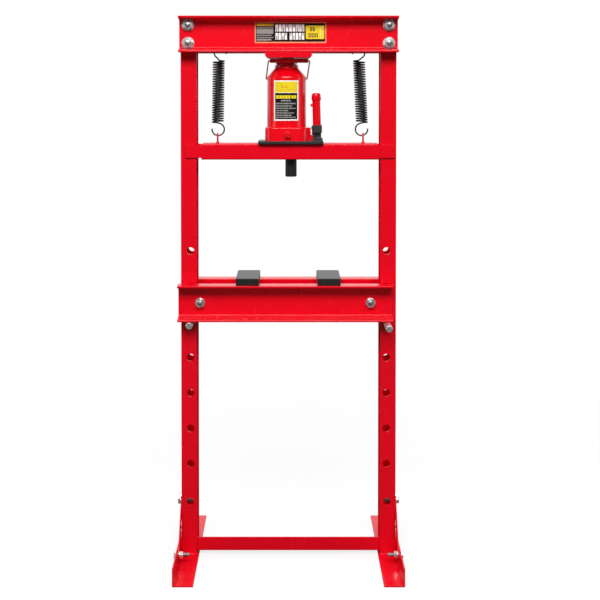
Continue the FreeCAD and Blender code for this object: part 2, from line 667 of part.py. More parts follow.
# ------------------------------------------------------------------ carrying bail
def bent_wire(points, wire_r, bend_r):
    """Round wire through the points, with an arc at each inner one."""
    points = [V(*p) for p in points]
    edges = []
    last = points[0]
    for before, corner, after in zip(points, points[1:], points[2:]):
        u = (before - corner).normalize()
        v = (after - corner).normalize()
        half_angle = math.acos(max(-1, min(1, u.dot(v)))) / 2
        setback = bend_r / math.tan(half_angle)
        arc_start, arc_end = corner + u * setback, corner + v * setback
        inward = (u + v).normalize()
        centre = corner + inward * (bend_r / math.sin(half_angle))
        edges.append(Part.makeLine(last, arc_start))
        edges.append(Part.Arc(arc_start, centre - inward * bend_r, arc_end).toShape())
        last = arc_end
    edges.append(Part.makeLine(last, points[-1]))
    start_dir = (points[1] - points[0]).normalize()
    section = Part.Wire(Part.makeCircle(wire_r, points[0], start_dir))
    return Part.Wire(edges).makePipeShell([section], True, False)


GRIP_X0, GRIP_X1 = [JACK_X + side * BAIL_HALF + BAIL_SKEW for side in SIDES]


def bail_wire():
    """Wire from ear to ear through the grip, its ends turned into the ears."""
    left, right, hook = JACK_X - BAIL_HALF, JACK_X + BAIL_HALF, 8.0
    points = [(left + hook, 0, BAIL_Z), (left, 0, BAIL_Z), (GRIP_X0, GRIP_Y, GRIP_Z),
              (GRIP_X1, GRIP_Y, GRIP_Z), (right, 0, BAIL_Z), (right - hook, 0, BAIL_Z)]
    return bent_wire(points, BAIL_WIRE_R, 2.6)


def bail_grip():
    span, inset = GRIP_X1 - GRIP_X0, 3.8
    grip = cylinder(5.7, span - 2 * inset, (GRIP_X0 + inset, GRIP_Y, GRIP_Z), X)
    grip = grip.cut(cylinder(BAIL_WIRE_R, span, (GRIP_X0, GRIP_Y, GRIP_Z), X))
    rims = [e for e in grip.Edges
            if near(e.BoundBox.XMin, e.BoundBox.XMax) and e.BoundBox.YLength > 10]
    return grip.makeFillet(1.2, rims)


save("bail_wire", bail_wire())
save("bail_grip", bail_grip())


# ------------------------------------------------------------------ labels
LABEL_T = 0.3


def head_label():
    web = -POST_HALF - CHANNEL_WEB_T
    return fillet(box(-95.0, 106.0, web - LABEL_T, web, 1440.0, 1500.3), 3.0, "y")


def jack_label():
    """Sleeve on the reservoir, cut to a sector facing the front."""
    sleeve = cylinder(RESERVOIR_R + LABEL_T, 113.0, (JACK_X, 0, 1224.5))
    sleeve = sleeve.cut(cylinder(RESERVOIR_R, 120.0, (JACK_X, 0, 1220.0)))
    left, right, reach = math.radians(40), math.radians(37.5), 90
    sector = [(JACK_X, 0), (JACK_X - reach * math.sin(left), -reach * math.cos(left)),
              (JACK_X, -130), (JACK_X + reach * math.sin(right), -reach * math.cos(right))]
    return one(sleeve.common(prism("z", 1200, 160, sector)))


save("head_label", head_label())
save("jack_label", jack_label())


# ------------------------------------------------------------------ springs and their anchors
def anchor_rod(x):
    """Rod between the upright planes, just inside the top of the spring's upper ring."""
    z = RING_Z1 + RING_R - SPRING_WIRE_R - ANCHOR_R - 0.15
    return cylinder(ANCHOR_R, 2 * POST_HALF, (x, -POST_HALF, z), Y)


def hermite(p0, m0, p1, m1, steps):
    """Inner points of a cubic from p0 to p1 with end tangents m0 and m1."""
    points = []
    for i in range(1, steps):
        t = i / steps
        points.append(p0 * (2 * t ** 3 - 3 * t ** 2 + 1) + m0 * (t ** 3 - 2 * t ** 2 + t)
                      + p1 * (3 * t ** 2 - 2 * t ** 3) + m1 * (t ** 3 - t ** 2))
    return points


def spring_line(top_x, bottom_x, coil_x, hand):
    """Centre line from the free end of the top ring to that of the bottom ring.
    top_x and bottom_x are the ring centres, coil_x the coil's axis at its top and
    bottom; hand, +1 or -1, mirrors the rings and coil."""
    ring_steps, blend_steps, turn_steps = 26, 6, 16
    pull = 13.0             # tangent length of the blends between ring and coil

    def ring_point(x, a):
        return V(x + hand * RING_R * math.cos(a), 0, RING_R * math.sin(a))

    def ring(x, z, a0, a1):
        steps = [a0 + (a1 - a0) * i / ring_steps for i in range(ring_steps + 1)]
        return [ring_point(x, a) + V(0, 0, z) for a in steps]

    def ring_tangent(a, size):
        return V(-hand * math.sin(a), 0, math.cos(a)) * size

    def coil_point(f):
        a = 2 * math.pi * COIL_TURNS * f
        x = coil_x[0] + (coil_x[1] - coil_x[0]) * f
        return V(x - hand * COIL_R * math.cos(a), -COIL_R * math.sin(a),
                 COIL_Z1 - (COIL_Z1 - COIL_Z0) * f)

    def coil_tangent(f):
        return (coil_point(f + 1e-4) - coil_point(f - 1e-4)).normalize() * pull

    top_end, bottom_start = math.radians(238), math.radians(58)
    top = ring(top_x, RING_Z1, math.radians(-12), top_end)
    bottom = ring(bottom_x, RING_Z0, bottom_start, math.radians(-184))
    f0, f1 = 0.3 / COIL_TURNS, (COIL_TURNS - 0.8) / COIL_TURNS
    steps = int(COIL_TURNS * turn_steps * (f1 - f0))
    coil = [coil_point(f0 + (f1 - f0) * i / steps) for i in range(steps + 1)]
    into_coil = hermite(top[-1], ring_tangent(top_end, pull), coil[0], coil_tangent(f0),
                        blend_steps)
    out_of_coil = hermite(coil[-1], coil_tangent(f1), bottom[0],
                          ring_tangent(bottom_start, -pull), blend_steps)
    return top + into_coil + coil + out_of_coil + bottom


def spring(*line):
    points = spring_line(*line)
    curve = Part.BSplineCurve()
    curve.interpolate(points)
    start_dir = curve.tangent(curve.FirstParameter)[0]
    section = Part.Wire(Part.makeCircle(SPRING_WIRE_R, points[0], start_dir))
    return Part.Wire(curve.toShape()).makePipeShell([section], True, True)


save("spring_anchor_rods", *[anchor_rod(x) for x in ANCHOR_X])
save("left_spring", spring(ANCHOR_X[0], -198.5, (-196.7, -199.5), 1))
save("right_spring", spring(ANCHOR_X[1], 205.9, (198.3, 207.0), -1))

# ------------------------------------------------------------------ bed
BED_WEB_Y = POST_HALF + BED_GAP
BED_BOLT_X = [BED_X + side * BED_BOLT_DX for side in SIDES]


def bed_channel(out):
    body = rolled_channel(BED_LEN, BED_X, out * BED_WEB_Y, BED_Z, out)
    return drill(body, [cylinder(7.4, 20, (x, out * BED_WEB_Y - 10, BED_BOLT_Z), Y)
                        for x in BED_BOLT_X])


def bed_fasteners():
    """Bolt heads at the back, nuts with the thread ends proud at the front."""
    forward = V(0, -1, 0)
    radius, washer_t, nut_h, proud = 7.0, 2.5, 11.5, 3.0
    web = BED_WEB_Y + CHANNEL_WEB_T
    length = 2 * web + washer_t + nut_h + proud
    bolts, nuts, spacers, washers = [], [], [], []
    for x, head_turn, nut_turn in zip(BED_BOLT_X, (28, 12), (15, 3)):
        front = (x, -web - washer_t, BED_BOLT_Z)
        bolts.append(bolt(radius, length, 23.0, 9.0, (x, web, BED_BOLT_Z), forward, head_turn))
        washers.append(washer(7.4, 13.2, washer_t, front, Y))
        nuts.append(nut(radius, 24.0, nut_h, front, forward, nut_turn))
        spacers.append(washer(7.25, 9.0, 2 * BED_WEB_Y, (x, -BED_WEB_Y, BED_BOLT_Z), Y))
    save("bed_bolts", *bolts)
    save("bed_washers", *washers)
    save("bed_nuts", *nuts)
    save("bed_spacers", *spacers)


def bed_pin(x, y0):
    pin = cylinder(BED_PIN_R, BED_PIN_LEN, (x, y0, BED_PIN_Z), Y)
    rims = [e for e in pin.Edges
            if near(e.BoundBox.YMin, e.BoundBox.YMax) and e.BoundBox.XLength > 10]
    return pin.makeChamfer(1.6, rims)


def press_block(x):
    """Block lying across the bed channels, all edges broken."""
    width, depth, height = BLOCK_SIZE
    z0 = BED_Z + CHANNEL_H
    block = box(x - width / 2, x + width / 2, -depth / 2, depth / 2, z0, z0 + height)
    return block.makeChamfer(1.0, block.Edges)


save("bed_channel_front", bed_channel(-1))
save("bed_channel_rear", bed_channel(1))
bed_fasteners()
save("left_bed_pin", bed_pin(-PIN_HOLE_X, -96.0))
save("right_bed_pin", bed_pin(PIN_HOLE_X, -138.0))
for block_side, block_x in BLOCK_X:
    save(block_side + "_press_block", press_block(block_x))
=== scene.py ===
import bpy
import bmesh
import json
import math
import random
from mathutils import Vector, Matrix, noise


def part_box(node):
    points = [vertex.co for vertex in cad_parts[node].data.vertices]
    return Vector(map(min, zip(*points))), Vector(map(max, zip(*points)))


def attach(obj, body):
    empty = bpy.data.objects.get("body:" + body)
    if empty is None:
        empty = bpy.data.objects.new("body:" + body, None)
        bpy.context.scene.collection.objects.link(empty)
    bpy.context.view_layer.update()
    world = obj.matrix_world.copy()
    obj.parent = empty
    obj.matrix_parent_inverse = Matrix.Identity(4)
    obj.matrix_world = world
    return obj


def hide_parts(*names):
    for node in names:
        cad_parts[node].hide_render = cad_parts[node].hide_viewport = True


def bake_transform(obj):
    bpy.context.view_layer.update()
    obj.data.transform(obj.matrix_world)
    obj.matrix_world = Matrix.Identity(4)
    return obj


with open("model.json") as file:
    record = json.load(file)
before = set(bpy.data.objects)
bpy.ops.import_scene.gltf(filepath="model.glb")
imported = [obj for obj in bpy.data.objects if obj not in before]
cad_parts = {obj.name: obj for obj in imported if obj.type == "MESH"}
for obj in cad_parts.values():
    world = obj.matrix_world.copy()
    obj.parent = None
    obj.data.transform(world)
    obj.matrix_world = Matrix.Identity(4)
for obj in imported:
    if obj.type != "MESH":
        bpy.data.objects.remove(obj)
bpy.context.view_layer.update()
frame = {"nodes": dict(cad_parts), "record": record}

random.seed(7)
scene = bpy.context.scene
coll = scene.collection
NODES = frame["nodes"]
record = frame["record"]
MM = 0.001


# ------------------------------------------------------------------ material helpers
class Mat:
    """Small builder round a node tree; sockets are passed about as they are."""

    def __init__(self, name):
        self.m = bpy.data.materials.new(name)
        self.m.use_nodes = True
        self.nt = self.m.node_tree
        self.nt.nodes.clear()
        self.out = self.nt.nodes.new("ShaderNodeOutputMaterial")
        self.bsdf = self.nt.nodes.new("ShaderNodeBsdfPrincipled")
        self.nt.links.new(self.bsdf.outputs[0], self.out.inputs[0])
        tc = self.nt.nodes.new("ShaderNodeTexCoord")
        self.obj = tc.outputs["Object"]
        self.normal_tail = None

    def link(self, a, b):
        if isinstance(a, (int, float)):
            b.default_value = a
        elif isinstance(a, (tuple, list)):
            b.default_value = tuple(a) if len(a) == 4 or len(b.default_value) == 3 else tuple(a) + (1.0,)
        else:
            self.nt.links.new(a, b)

    def noise(self, scale, detail=3.0, rough=0.5, vec=None, distortion=0.0):
        n = self.nt.nodes.new("ShaderNodeTexNoise")
        n.inputs["Scale"].default_value = scale
        n.inputs["Detail"].default_value = detail
        n.inputs["Roughness"].default_value = rough
        n.inputs["Distortion"].default_value = distortion
        self.link(vec or self.obj, n.inputs["Vector"])
        return n.outputs["Fac"]

    def scaled(self, sx, sy, sz):
        n = self.nt.nodes.new("ShaderNodeMapping")
        n.inputs["Scale"].default_value = (sx, sy, sz)
        self.link(self.obj, n.inputs["Vector"])
        return n.outputs["Vector"]

    def ramp(self, fac, stops, mode="LINEAR"):
        n = self.nt.nodes.new("ShaderNodeValToRGB")
        n.color_ramp.interpolation = mode
        e = n.color_ramp.elements
        while len(e) < len(stops):
            e.new(0.5)
        for el, (p, c) in zip(e, stops):
            el.position = p
            el.color = (c, c, c, 1) if isinstance(c, (int, float)) else tuple(c) + (1,)
        self.link(fac, n.inputs["Fac"])
        return n.outputs["Color"]

    def math(self, op, a, b=0.0, c=0.0, clamp=False):
        n = self.nt.nodes.new("ShaderNodeMath")
        n.operation = op
        n.use_clamp = clamp
        for s, v in zip(n.inputs, (a, b, c)):
            self.link(v, s)
        return n.outputs[0]

    def mix(self, fac, a, b, blend="MIX"):
        n = self.nt.nodes.new("ShaderNodeMix")
        n.data_type = "RGBA"
        n.blend_type = blend
        self.link(fac, n.inputs[0])
        self.link(a, n.inputs[6])
        self.link(b, n.inputs[7])
        return n.outputs[2]

    def maprange(self, v, a, b, c, d):
        n = self.nt.nodes.new("ShaderNodeMapRange")
        for i, x in enumerate((v, a, b, c, d)):
            self.link(x, n.inputs[i])
        return n.outputs[0]

    def edges(self, radius=0.0012, samples=4):
        """(edge mask 0..1, softened normal) from the bevel node."""
        bv = self.nt.nodes.new("ShaderNodeBevel")
        bv.samples = samples
        bv.inputs["Radius"].default_value = radius
        geo = self.nt.nodes.new("ShaderNodeNewGeometry")
        dot = self.nt.nodes.new("ShaderNodeVectorMath")
        dot.operation = "DOT_PRODUCT"
        self.nt.links.new(bv.outputs[0], dot.inputs[0])
        self.nt.links.new(geo.outputs["Normal"], dot.inputs[1])
        m = self.maprange(dot.outputs["Value"], 0.98, 0.80, 0.0, 1.0)
        return m, bv.outputs[0]

    def bump(self, height, strength, distance, normal=None):
        n = self.nt.nodes.new("ShaderNodeBump")
        n.inputs["Strength"].default_value = strength
        n.inputs["Distance"].default_value = distance
        self.link(height, n.inputs["Height"])
        if normal is not None:
            self.nt.links.new(normal, n.inputs["Normal"])
        return n.outputs[0]

    def set(self, **kw):
        names = {"base": "Base Color", "rough": "Roughness", "metal": "Metallic", "normal": "Normal", "coat": "Coat Weight",
                 "coat_rough": "Coat Roughness", "spec": "Specular IOR Level", "ior": "IOR", "sheen": "Sheen Weight", "aniso": "Anisotropic"}
        for k, v in kw.items():
            self.link(v, self.bsdf.inputs[names[k]])
        return self


def paint(name, deep, mid, light, rough, peel, coat, spec=0.5, edge=0.35, edge_col=None):
    """Powder coat or enamel: slow colour drift, orange peel, edges lighter as partly wear and partly a painted edge
    highlight, a little variation of gloss.
    """
    m = Mat(name)
    drift = m.noise(3.1, 2.0)
    cloud = m.noise(38.0, 4.0, 0.6)
    c = m.mix(m.ramp(drift, [(0.32, 0.0), (0.68, 1.0)]), deep, mid)
    c = m.mix(m.math("MULTIPLY", m.ramp(cloud, [(0.5, 0.0), (0.78, 1.0)]), 0.12), c, light)
    mask, nrm = m.edges()
    grain = m.noise(900.0, 2.0)
    # Lighter edges from the bevel mask with a speckle: partly wear, partly a painted edge highlight; the same mask also
    # roughens the edges.
    wear_and_edge_highlight = m.math("MULTIPLY", mask, m.ramp(m.noise(210.0, 3.0, 0.6), [(0.42, 0.25), (0.62, 1.0)]))
    c = m.mix(m.math("MULTIPLY", wear_and_edge_highlight, edge), c, edge_col or light)
    r = m.maprange(cloud, 0.3, 0.7, rough - 0.02, rough + 0.02)
    r = m.math("ADD", r, m.math("MULTIPLY", wear_and_edge_highlight, 0.08), clamp=True)
    h = m.math("ADD", m.noise(420.0, 2.5, 0.5), m.math("MULTIPLY", grain, 0.25))
    n = m.bump(h, peel, 0.00035, nrm)
    m.set(base=c, rough=r, normal=n, coat=coat, coat_rough=0.12, spec=spec)
    return m.m


def metal(name, dark, base, rough, rings=None, bumpy=0.05, tint=None, painted_edge_highlight=0.25, metallic=1.0):
    m = Mat(name)
    patch = m.noise(120.0, 4.0, 0.6)
    c = m.mix(m.ramp(patch, [(0.35, 0.0), (0.65, 1.0)]), dark, base)
    if tint is not None:
        c = m.mix(m.math("MULTIPLY", m.ramp(m.noise(46.0, 3.0), [(0.5, 0.0), (0.7, 1.0)]), 0.35), c, tint)
    mask, nrm = m.edges(0.0006)
    # Painted highlight: every edge is lightened towards near-white.
    c = m.mix(m.math("MULTIPLY", mask, painted_edge_highlight), c, (0.95, 0.95, 0.95))
    fine = m.noise(1500.0, 2.0) if rings is None else m.noise(1.0, 3.0, 0.6, vec=m.scaled(*rings))
    r = m.math("ADD", m.maprange(patch, 0.3, 0.7, rough - 0.06, rough + 0.08), m.math("MULTIPLY", m.math("SUBTRACT", fine, 0.5), 0.16), clamp=True)
    n = m.bump(fine, bumpy, 0.0002, nrm)
    m.set(base=c, metal=metallic, rough=r, normal=n)
    return m.m


def flat_print(name, colour, rough=0.25, mottle=0.12):
    """Printed vinyl: even ink with a slight mottle and a glossy film."""
    m = Mat(name)
    n = m.noise(260.0, 3.0)
    d = tuple(x * (1 - mottle) for x in colour)
    c = m.mix(m.ramp(n, [(0.4, 0.0), (0.6, 1.0)]), d, colour)
    r = m.maprange(n, 0.3, 0.7, rough - 0.04, rough + 0.06)
    m.set(base=c, rough=r, normal=m.bump(m.noise(180.0, 2.0), 0.04, 0.0003), spec=0.35)
    return m.m


M = {}
M["red_powder_coat"] = paint("red_powder_coat", (0.74, 0.0008, 0.0105), (0.80, 0.0009, 0.0125), (0.84, 0.003, 0.018), 0.26, 0.08, 0.08, spec=0.22,
                             edge=0.12, edge_col=(0.86, 0.03, 0.05))
M["jack_enamel"] = paint("jack_enamel", (0.76, 0.0008, 0.0065), (0.82, 0.0010, 0.0080), (0.86, 0.004, 0.011), 0.22, 0.06, 0.22, spec=0.36,
                         edge=0.12, edge_col=(0.95, 0.04, 0.04))
M["black_enamel"] = paint("black_enamel", (0.006, 0.006, 0.006), (0.010, 0.010, 0.010), (0.02, 0.02, 0.02), 0.42, 0.16, 0.08, spec=0.45,
                          edge=0.4, edge_col=(0.09, 0.088, 0.085))
M["black_spring_steel"] = paint("black_spring_steel", (0.008, 0.008, 0.008), (0.014, 0.014, 0.014), (0.03, 0.03, 0.03), 0.40, 0.10, 0.05, spec=0.5,
                                edge=0.2, edge_col=(0.08, 0.08, 0.08))
M["black_oxide"] = paint("black_oxide", (0.016, 0.016, 0.017), (0.030, 0.030, 0.031), (0.07, 0.068, 0.066), 0.36, 0.12, 0.15, spec=0.6,
                         edge=0.6, edge_col=(0.20, 0.20, 0.20))
M["zinc_plate"] = metal("zinc_plate", (0.66, 0.67, 0.67), (0.86, 0.87, 0.87), 0.30, tint=(0.78, 0.79, 0.74), bumpy=0.08, metallic=0.9)
# Thread ends: a darker copy of the zinc as painted shade, with a strong painted highlight on the edges.
THREAD_PAINTED_SHADE = metal("zinc_thread_painted_shade", (0.20, 0.20, 0.20), (0.42, 0.42, 0.42), 0.36, bumpy=0.05, painted_edge_highlight=0.5, metallic=0.9)
M["polished_steel"] = metal("polished_steel", (0.55, 0.55, 0.56), (0.80, 0.80, 0.81), 0.16, rings=(30, 30, 2600), bumpy=0.05)
M["printed_label"] = flat_print("printed_label", (0.012, 0.011, 0.012), 0.22, 0.3)
M["rubber"] = paint("rubber", (0.012, 0.012, 0.012), (0.02, 0.02, 0.02), (0.04, 0.04, 0.04), 0.7, 0.2, 0.0, spec=0.3, edge=0.3, edge_col=(0.06, 0.06, 0.06))
P_ORANGE = flat_print("print_orange_edge", (1.0, 0.30, 0.14), 0.35, 0.05)
P_WHITE = flat_print("print_white", (0.97, 0.97, 0.96), 0.35, 0.03)
P_CREAM = flat_print("print_cream", (1.0, 0.93, 0.88), 0.35, 0.03)
P_YELLOW = flat_print("print_yellow", (0.90, 0.70, 0.02))
P_AMBER = flat_print("print_amber", (0.88, 0.50, 0.03))
P_GREY = flat_print("print_grey", (0.30, 0.30, 0.28))
P_DARK = flat_print("print_dark", (0.10, 0.085, 0.03), 0.3, 0.3)
P_BLACK = M["printed_label"]


# ------------------------------------------------------------------ CAD nodes: finish and shading
slot_of = {}
for sp in record["subparts"]:
    slot_of[sp["node"]] = sp.get("material_slot") or sp["node"]
for name, o in NODES.items():
    o.data.materials.clear()
    o.data.materials.append(M[slot_of[name]])
    for p in o.data.polygons:
        p.material_index = 0
        p.use_smooth = True
    w = o.modifiers.new("weld", "WELD")
    w.merge_threshold = 0.000004
    es = o.modifiers.new("sharp", "EDGE_SPLIT")
    es.split_angle = math.radians(28)


# ------------------------------------------------------------------ mesh helpers
def new_object(name, verts, faces, mats, body=None, face_mats=None, smooth=True, sharp=None):
    me = bpy.data.meshes.new(name)
    me.from_pydata([tuple(v) for v in verts], [], faces)
    me.validate()
    for m in mats:
        me.materials.append(m)
    for i, p in enumerate(me.polygons):
        p.use_smooth = smooth
        if face_mats:
            p.material_index = face_mats[i]
    bm = bmesh.new()
    bm.from_mesh(me)
    bmesh.ops.recalc_face_normals(bm, faces=bm.faces)
    bm.to_mesh(me)
    bm.free()
    o = bpy.data.objects.new(name, me)
    coll.objects.link(o)
    if sharp:
        es = o.modifiers.new("sharp", "EDGE_SPLIT")
        es.split_angle = math.radians(sharp)
    if body:
        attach(o, body)
    return o


def tube(points, radii, sides=12, closed_ends=True, up=None):
    """Round tube through points (metres) with a radius at each; returns verts, faces, ring count."""
    pts = [Vector(p) for p in points]
    n = len(pts)
    tans = []
    for i in range(n):
        a, b = pts[max(i - 1, 0)], pts[min(i + 1, n - 1)]
        tans.append((b - a).normalized())
    ref = Vector((0, 1, 0)) if up is None else Vector(up)
    if abs(tans[0].dot(ref)) > 0.9:
        ref = Vector((1, 0, 0))
    nrm = (ref - tans[0] * ref.dot(tans[0])).normalized()
    verts, faces = [], []
    rings = []
    caps = []
    if closed_ends:
        for k in (75, 50, 25):
            caps.append((math.sin(math.radians(k)), math.cos(math.radians(k))))
    seq = []
    frames = []
    for i in range(n):
        if i:
            nrm = (nrm - tans[i] * nrm.dot(tans[i])).normalized()
        frames.append((pts[i], tans[i], nrm.copy()))
    full = []
    if closed_ends:
        p, t, q = frames[0]
        for s, c in caps:
            full.append((p - t * radii[0] * s * 0.6, t, q, radii[0] * c))
    for (p, t, q), r in zip(frames, radii):
        full.append((p, t, q, r))
    if closed_ends:
        p, t, q = frames[-1]
        for s, c in reversed(caps):
            full.append((p + t * radii[-1] * s * 0.6, t, q, radii[-1] * c))
    for p, t, q, r in full:
        b = t.cross(q)
        rings.append(len(verts))
        for k in range(sides):
            a = 2 * math.pi * k / sides
            verts.append(p + (q * math.cos(a) + b * math.sin(a)) * r)
    for i in range(len(full) - 1):
        a0, b0 = rings[i], rings[i + 1]
        for k in range(sides):
            k2 = (k + 1) % sides
            faces.append((a0 + k, a0 + k2, b0 + k2, b0 + k))
    faces.append(tuple(range(sides - 1, -1, -1)))
    last = rings[-1]
    faces.append(tuple(last + k for k in range(sides)))
    return verts, faces, len(full)


# ------------------------------------------------------------------ springs
SPR_MR, SPR_W, SPR_RING, SPR_N = 15.4, 4.2, 17.3, 27


def hermite(p0, m0, p1, m1, n):
    out = []
    for i in range(1, n):
        t = i / n
        out.append(p0 * (2 * t ** 3 - 3 * t ** 2 + 1) + m0 * (t ** 3 - 2 * t ** 2 + t) + p1 * (3 * t ** 2 - 2 * t ** 3) + m1 * (t ** 3 - t ** 2))
    return out


def spring_path(top, bottom, axis, hand, zt=1394.5, zb=1213.4, per=26):
    n, length = SPR_N, zt - zb

    def ax(z):
        return axis[0] + (axis[1] - axis[0]) * (zt - z) / length

    def ringp(c, a):
        return Vector((c[0] + hand * SPR_RING * math.cos(a), 0, c[1] + SPR_RING * math.sin(a)))

    def ringt(a, s):
        return Vector((-hand * math.sin(a), 0, math.cos(a))) * s

    def coilp(f):
        th = 2 * math.pi * n * f
        z = zt - length * f
        return Vector((ax(z) - hand * SPR_MR * math.cos(th), -SPR_MR * math.sin(th), z))

    m, mag = 30, 13.0
    a0, a1 = math.radians(-12), math.radians(238)
    pts = [ringp(top, a0 + (a1 - a0) * i / m) for i in range(m + 1)]
    wts = [0.0] * len(pts)
    f0, f1 = 0.3 / n, (n - 0.8) / n
    d = (coilp(f0 + 1e-4) - coilp(f0 - 1e-4)).normalized()
    h = hermite(pts[-1], ringt(a1, mag), coilp(f0), d * mag, 9)
    pts += h
    wts += [0.0] * len(h)
    k = int(n * per * (f1 - f0))
    for i in range(k + 1):
        pts.append(coilp(f0 + (f1 - f0) * i / k))
        wts.append(i / k)
    d = (coilp(f1 + 1e-4) - coilp(f1 - 1e-4)).normalized()
    b1, b0 = math.radians(58), math.radians(-184)
    h = hermite(pts[-1], d * mag, ringp(bottom, b1), ringt(b1, -mag), 9)
    pts += h
    wts += [1.0] * len(h)
    for i in range(m + 1):
        pts.append(ringp(bottom, b1 + (b0 - b1) * i / m))
        wts.append(1.0)
    return pts, wts


ZR = 1415.5
for side, tx, bx, axis, hand in (("left", -192.3, -198.5, (-196.7, -199.5), 1), ("right", 197.6, 205.9, (198.3, 207.0), -1)):
    pts, wts = spring_path((tx, ZR), (bx, 1199.2), axis, hand)
    P = [p * MM for p in pts]
    sides = 10
    verts, faces, rings = tube(P, [SPR_W / 2 * MM] * len(P), sides)
    o = new_object(side + "_coil_spring", verts, faces, [M["black_spring_steel"]])
    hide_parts(side + "_spring")
    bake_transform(o)


# ------------------------------------------------------------------ printed labels
def slab_flat(verts, faces, fm, x0, x1, z0, z1, y0, y1, mi, cut=0.0, segs=3):
    """Rounded flat patch between planes y0 (back) and y1 (front)."""
    outline = []
    if cut <= 0:
        outline = [(x0, z0), (x1, z0), (x1, z1), (x0, z1)]
    else:
        for cx, cz, a0 in ((x1 - cut, z0 + cut, -90), (x1 - cut, z1 - cut, 0), (x0 + cut, z1 - cut, 90), (x0 + cut, z0 + cut, 180)):
            for k in range(segs + 1):
                a = math.radians(a0 + 90 * k / segs)
                outline.append((cx + cut * math.cos(a), cz + cut * math.sin(a)))
    b = len(verts)
    n = len(outline)
    for x, z in outline:
        verts.append((x * MM, y0 * MM, z * MM))
    for x, z in outline:
        verts.append((x * MM, y1 * MM, z * MM))
    faces.append(tuple(b + n + k for k in range(n)))
    fm.append(mi)
    faces.append(tuple(b + n - 1 - k for k in range(n)))
    fm.append(mi)
    for k in range(n):
        k2 = (k + 1) % n
        faces.append((b + k, b + k2, b + n + k2, b + n + k))
        fm.append(mi)


def head_label_print():
    lo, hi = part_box("head_label")
    x0, x1, z0, z1 = lo.x / MM, hi.x / MM, lo.z / MM, hi.z / MM
    yf = lo.y / MM
    Wd, Ht = x1 - x0, z1 - z0
    mats = [P_ORANGE, P_BLACK, P_YELLOW, P_AMBER, P_GREY, P_WHITE, P_DARK, P_CREAM]
    v, f, fm = [], [], []

    def R(u0, u1, w0, w1, mi, layer, cut=0.0):
        """u across, w down, as fractions of the label."""
        slab_flat(v, f, fm, x0 + u0 * Wd, x0 + u1 * Wd, z1 - w1 * Ht, z1 - w0 * Ht, yf + 0.02, yf - 0.05 * layer, mi, cut)

    # edge line round the panel, with the panel over it
    R(0.004, 0.996, 0.010, 0.990, 0, 1, 2.6)
    R(0.021, 0.979, 0.072, 0.925, 1, 2, 1.6)
    # left block: strip, grey panel, lines
    R(0.030, 0.268, 0.085, 0.205, 3, 3, 0.4)
    R(0.034, 0.150, 0.085, 0.190, 2, 4, 0.4)
    R(0.030, 0.262, 0.245, 0.285, 4, 3)
    R(0.030, 0.262, 0.320, 0.560, 4, 3, 0.4)
    for w0, w1, u1 in ((0.605, 0.655, 0.235), (0.705, 0.745, 0.262), (0.785, 0.875, 0.235)):
        R(0.030, u1, w0, w1, 4, 3)
    # middle: two rows of plain blocks
    for row, (w0, w1, widths) in enumerate(((0.125, 0.455, (1, 1, 1, 1, 1, 1, 1, 0.5, 1)), (0.520, 0.830, (1, 1, 1, 1, 0, 1, 1, 1, 1, 1)))):
        total = sum(x if x else 0.55 for x in widths)
        gap = 0.0095
        a, b = 0.292, 0.690
        unit = (b - a - gap * (len(widths) - 1)) / total
        u = a
        for i, x in enumerate(widths):
            if x:
                R(u, u + unit * x, w0, w1, 5, 3, 0.5)
                # notches that break the block up so that it reads as print, not as letters
                if i % 3 != 1 and x > 0.6:
                    R(u + unit * 0.34, u + unit * 0.66, w0 + (w1 - w0) * (0.0 if i % 2 else 0.45), w0 + (w1 - w0) * (0.42 if i % 2 else 1.0), 1, 4)
                u += unit * x + gap
            else:
                u += unit * 0.55 + gap
    # right: yellow panel with plain blocks
    R(0.712, 0.968, 0.180, 0.800, 2, 3, 1.2)
    for u0, u1, w0, w1 in ((0.770, 0.800, 0.255, 0.440), (0.808, 0.838, 0.255, 0.440), (0.748, 0.786, 0.535, 0.725), (0.794, 0.832, 0.535, 0.725),
                           (0.840, 0.878, 0.535, 0.725)):
        R(u0, u1, w0, w1, 6, 4, 0.8)
        R(u0 + 0.011, u1 - 0.011, w0 + 0.05, w1 - 0.05, 2, 5, 0.3)
    R(0.912, 0.918, 0.26, 0.72, 7, 4)
    return new_object("head_label_print", v, f, mats, "frame", fm, smooth=False)


head_label_print()

JX, JR = -5.5, 54.4


